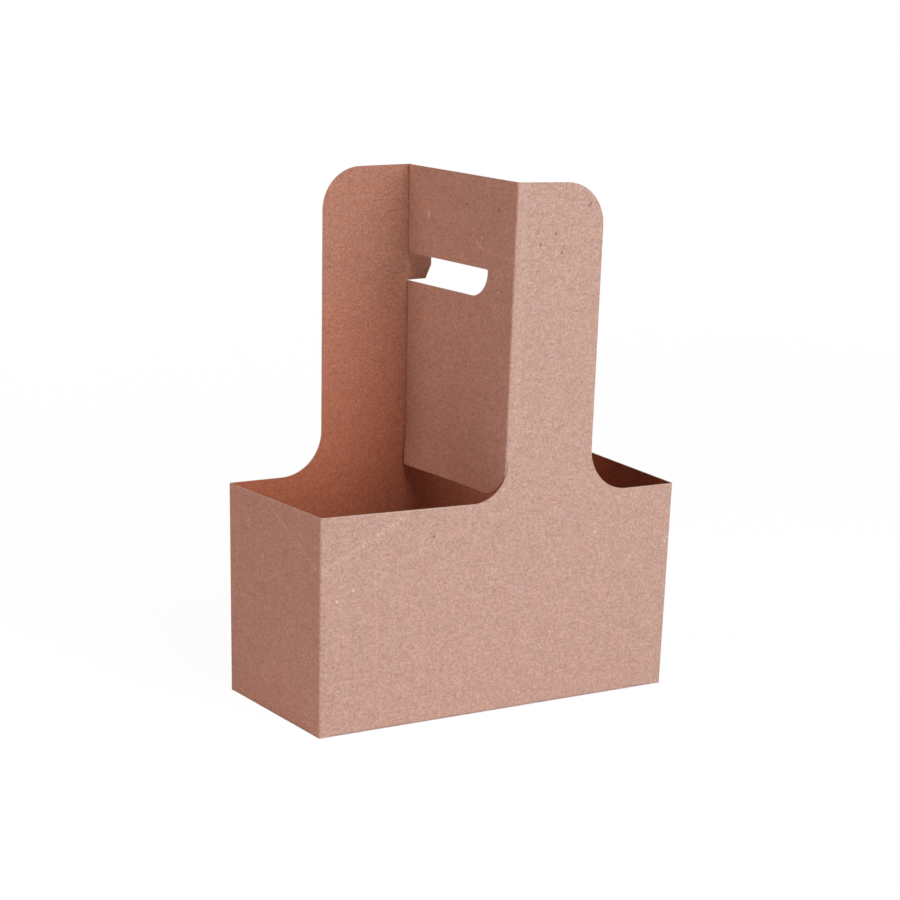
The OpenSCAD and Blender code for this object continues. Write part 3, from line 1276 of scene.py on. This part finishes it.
@dataclass
class Carrier:
    """The folded carrier: one sheet of kraft board.

    Args:
        sizes: sizes of the carrier and its sheet.
        stance: how it stands.
        board: finish of its faces.
        edge: finish of its cut edges.
    """

    sizes: SheetSizes
    stance: Stance = Stance()
    board: KraftBoard = KraftBoard()
    edge: CutEdge = CutEdge()

    def build(self) -> bpy.types.Object:
        """Builds the board and puts it in the place of the CAD node.

        Returns:
            The board's object.
        """
        blank = Blank(self.sizes)
        obj = link_mesh("carrier_board", blank.build(self.stance))
        self.dress(obj, blank.map_corner)
        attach(obj, "root")
        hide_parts("carrier")
        return obj

    def dress(self, obj: bpy.types.Object, corner: Pair) -> None:
        """Gives the board its finishes, for a map that begins at this corner of the sheet."""
        obj.data.materials.append(self.board.material(corner))
        obj.data.materials.append(self.edge.material())


class Lamp(Enum):
    """Soft lamps: azimuth and elevation in degrees, level on a surface that faces it, colour."""

    FRONT_LOW = (15.0, 12.0, 0.70, (0.876, 1.0, 1.107))
    FRONT_HIGH = (5.0, 45.0, 0.417, (0.928, 1.0, 1.02))
    LEFT = (-92.0, 28.0, 0.44, (1.0, 0.72, 0.64))
    BACK = (175.0, 6.0, 0.22, (1.0, 1.0, 1.0))


@dataclass
class Studio:
    """Floor, lamps, white surroundings and the camera.

    Args:
        floor_radius: radius of the floor.
        floor_clear: radius within which the floor is solid, before it fades.
        floor_colour: colour of the floor where its shading shows.
        floor_share: share of plain white in what is seen of the floor, over its shading.
        covered: half sides of the floor under the tray, which keeps its own shading.
        covered_skew: shift of that floor along the tray for each unit to the front.
        floor_glow: level of that white, so that the unshaded floor comes out white.
        lamp_distance: distance of the lamps from the point that they face.
        lamp_aim: height of that point.
        lamp_size: side of a lamp.
        ambient: level of the light from all round.
        azimuth: the camera's place round the object, in degrees, and the next two likewise.
        aim: point that the camera looks at.
        distance: distance of the camera from that point.
        lens: focal length in millimetres.
        sensor: width of the picture on the sensor, in millimetres.
        clip: nearest and furthest distance that the camera sees.
    """

    floor_radius: float = 1.2
    floor_segments: int = 96
    floor_clear: float = 0.35
    floor_colour: Colour = (0.93, 0.93, 0.93, 1)
    floor_share: float = 0.88
    covered: Pair = (93.2 * MM, 40.9 * MM)
    covered_skew: float = 0.039
    floor_glow: float = 1.075
    lamp_distance: float = 1.5
    lamp_aim: float = 0.12
    lamp_size: float = 1.1
    ambient: float = 0.003
    azimuth: float = -31.453
    elevation: float = 12.2129
    roll: float = 1.6048
    aim: Triple = (-2.426 * MM, 0.188 * MM, 115.72 * MM)
    distance: float = 1.146849
    lens: float = 97.9683
    sensor: float = 36.0
    clip: Pair = (0.05, 50.0)

    def build(self) -> None:
        """Builds the whole studio."""
        self.build_floor()
        self.build_surroundings()
        for lamp in Lamp:
            self.build_lamp(lamp)
        self.build_camera()

    @staticmethod
    def direction(azimuth: float, elevation: float) -> Vector:
        """Direction from the object to an azimuth, from the front to the right, and an elevation."""
        a, e = math.radians(azimuth), math.radians(elevation)
        return Vector((math.sin(a) * math.cos(e), -math.cos(a) * math.cos(e), math.sin(e)))

    @staticmethod
    def seen_rays(nodes: Nodes) -> bpy.types.NodeSocket:
        """Tells rays that show the background from rays that carry light.

        Args:
            nodes: the nodes to add to.

        Returns:
            1 for camera, glossy and transmission rays, 0 for others.
        """
        path = nodes.add("LightPath")
        seen = nodes.math("MAXIMUM", path.outputs["Is Camera Ray"], path.outputs["Is Glossy Ray"])
        return nodes.math("MAXIMUM", seen, path.outputs["Is Transmission Ray"])

    def open_floor(self, nodes: Nodes, place: object) -> bpy.types.NodeSocket:
        """Tells the open floor from the floor under the tray.

        Args:
            nodes: the nodes to add to.
            place: the place on the floor.

        Returns:
            1 on the open floor, 0 under the tray.
        """
        split = nodes.fill(nodes.add("SeparateXYZ"), {0: place})
        skew = nodes.math("MULTIPLY", split.outputs[1], self.covered_skew)
        along = nodes.math("ABSOLUTE", nodes.math("ADD", split.outputs[0], skew))
        across = nodes.math("ABSOLUTE", split.outputs[1])
        beside = nodes.math("GREATER_THAN", along, self.covered[0])
        return nodes.math("MAXIMUM", beside, nodes.math("GREATER_THAN", across, self.covered[1]))

    def build_floor(self) -> None:
        """Lays a white floor that keeps the object's shadow and fades out to white."""
        mesh = bmesh.new()
        bmesh.ops.create_circle(
            mesh, cap_ends=True, radius=self.floor_radius, segments=self.floor_segments
        )
        floor = link_mesh("floor", mesh)
        nodes = Nodes(bpy.data.materials.new("floor_white"))
        place = nodes.add("TexCoord").outputs["Object"]
        white = nodes.math("MULTIPLY", self.seen_rays(nodes), self.floor_share)
        white = nodes.math("MULTIPLY", white, self.open_floor(nodes, place))
        shaded = nodes.fill(nodes.add("BsdfDiffuse"), {"Color": self.floor_colour})
        glow = nodes.fill(nodes.add("Emission"), {"Strength": self.floor_glow})
        fade = nodes.remap(nodes.vector("LENGTH", place), self.floor_clear, self.floor_radius)
        clear = nodes.add("BsdfTransparent")
        nodes.show(nodes.blend(fade, nodes.blend(white, shaded, glow), clear))
        floor.data.materials.append(nodes.owner)

    def build_surroundings(self) -> None:
        """Makes the surroundings white to look at, and dim as a light."""
        world = bpy.data.worlds.new("studio")
        bpy.context.scene.world = world
        nodes = Nodes(world)
        dim, white = (
            nodes.fill(nodes.add("Background"), {"Color": (1, 1, 1, 1), "Strength": strength})
            for strength in (self.ambient, 1.0)
        )
        nodes.show(nodes.blend(self.seen_rays(nodes), dim, white))

    def build_lamp(self, lamp: Lamp) -> None:
        """Places one soft lamp.

        Args:
            lamp: which one.
        """
        azimuth, elevation, level, colour = lamp.value
        data = bpy.data.lights.new("lamp_" + lamp.name.lower(), "AREA")
        data.shape = "SQUARE"
        data.size = self.lamp_size
        data.energy = level * (math.pi * self.lamp_distance) ** 2
        data.color = colour
        obj = bpy.data.objects.new(data.name, data)
        away = self.direction(azimuth, elevation)
        obj.location = Vector((0, 0, self.lamp_aim)) + away * self.lamp_distance
        obj.rotation_mode = "QUATERNION"
        obj.rotation_quaternion = (-away).to_track_quat("-Z", "Y")
        bpy.context.scene.collection.objects.link(obj)

    def build_camera(self) -> None:
        """Places the camera where the photograph was taken from."""
        data = bpy.data.cameras.new("camera")
        data.sensor_width = self.sensor
        data.lens = self.lens
        data.clip_start, data.clip_end = self.clip
        camera = bpy.data.objects.new("camera", data)
        back = self.direction(self.azimuth, self.elevation)
        side = (-back).cross(Vector((0, 0, 1))).normalized()
        up = side.cross(-back)
        turn = math.radians(self.roll)
        right = side * math.cos(turn) + up * math.sin(turn)
        top = up * math.cos(turn) - side * math.sin(turn)
        axes = Matrix((right, top, back)).transposed().to_4x4()
        axes.translation = Vector(self.aim) + back * self.distance
        camera.matrix_world = axes
        bpy.context.scene.collection.objects.link(camera)
        bpy.context.scene.camera = camera


def main() -> None:
    """Builds the carrier and its studio."""
    logging.basicConfig(level=logging.INFO, format="%(name)s: %(message)s")
    bpy.context.scene.view_settings.view_transform = "Standard"
    low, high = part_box("carrier")
    span = high - low
    sizes = SheetSizes(span.x, span.y, span.z)
    board = Carrier(sizes).build()
    log.info("%s: %d faces", board.name, len(board.data.polygons))
    Studio().build()
    log.info("studio: %d lamps", len(Lamp))


if __name__ == "__main__":
    main()
